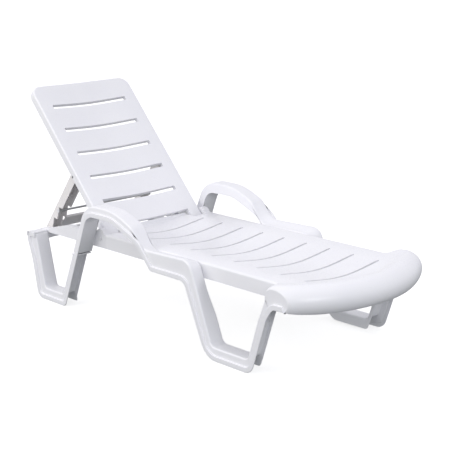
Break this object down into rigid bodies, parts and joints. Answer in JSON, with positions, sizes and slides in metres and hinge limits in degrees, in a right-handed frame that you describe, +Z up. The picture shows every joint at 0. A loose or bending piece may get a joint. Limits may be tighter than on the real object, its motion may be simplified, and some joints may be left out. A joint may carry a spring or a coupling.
{
  "type": "reclining sun lounger",
  "caption": "Moulded resin sun lounger with slotted dished seat, rolled foot end, channel-section legs and armrests, and a hinged slotted backrest on a toothed prop.",
  "frame": {"origin": "on the floor under the centre of the overall box with the backrest at its highest notch", "axes": "+X towards the foot end, +Z up, -Y the right-hand side of a person lying on it"},
  "size_m": [1.7864, 0.714, 0.878],
  "materials": {
    "resin": "satin gloss moulded polypropylene",
    "prop_resin": "satin moulded polypropylene",
    "pin_resin": "satin moulded nylon",
    "steel": "drawn zinc-plated steel"
  },
  "bodies": {
    "frame": {"seat_deck": "resin", "rear_rail_left": "resin", "rear_rail_right": "resin", "side_frame_left": "resin", "side_frame_right": "resin", "rear_crossbar": "resin", "hinge_pin_left": "pin_resin", "hinge_pin_right": "pin_resin", "side_frame_screws": "steel", "rail_screws": "steel", "crossbar_bolts": "steel"},
    "backrest": {"backrest_panel": "resin", "prop_pin_left": "steel", "prop_pin_right": "steel"},
    "prop": {"prop_leg_left": "prop_resin", "prop_leg_right": "prop_resin", "prop_cross_panel": "prop_resin", "prop_tie_rod": "steel", "tie_rod_cap_left": "pin_resin", "tie_rod_cap_right": "pin_resin"}
  },
  "joints": [
    {"name": "backrest_hinge", "type": "hinge", "parent": "frame", "child": "backrest", "pos_m": [-0.3703, 0, 0.31], "axis": [0, 1, 0], "range_deg": [-47.6, 0]},
    {"name": "prop_hinge", "type": "hinge", "parent": "backrest", "child": "prop", "pos_m": [-0.58724, 0, 0.52696], "axis": [0, 1, 0], "range_deg": [0, 97.58]}
  ],
  "couplings": [
    {"joint": "prop_hinge", "follows": "backrest_hinge", "ratio": -2.05}
  ]
}
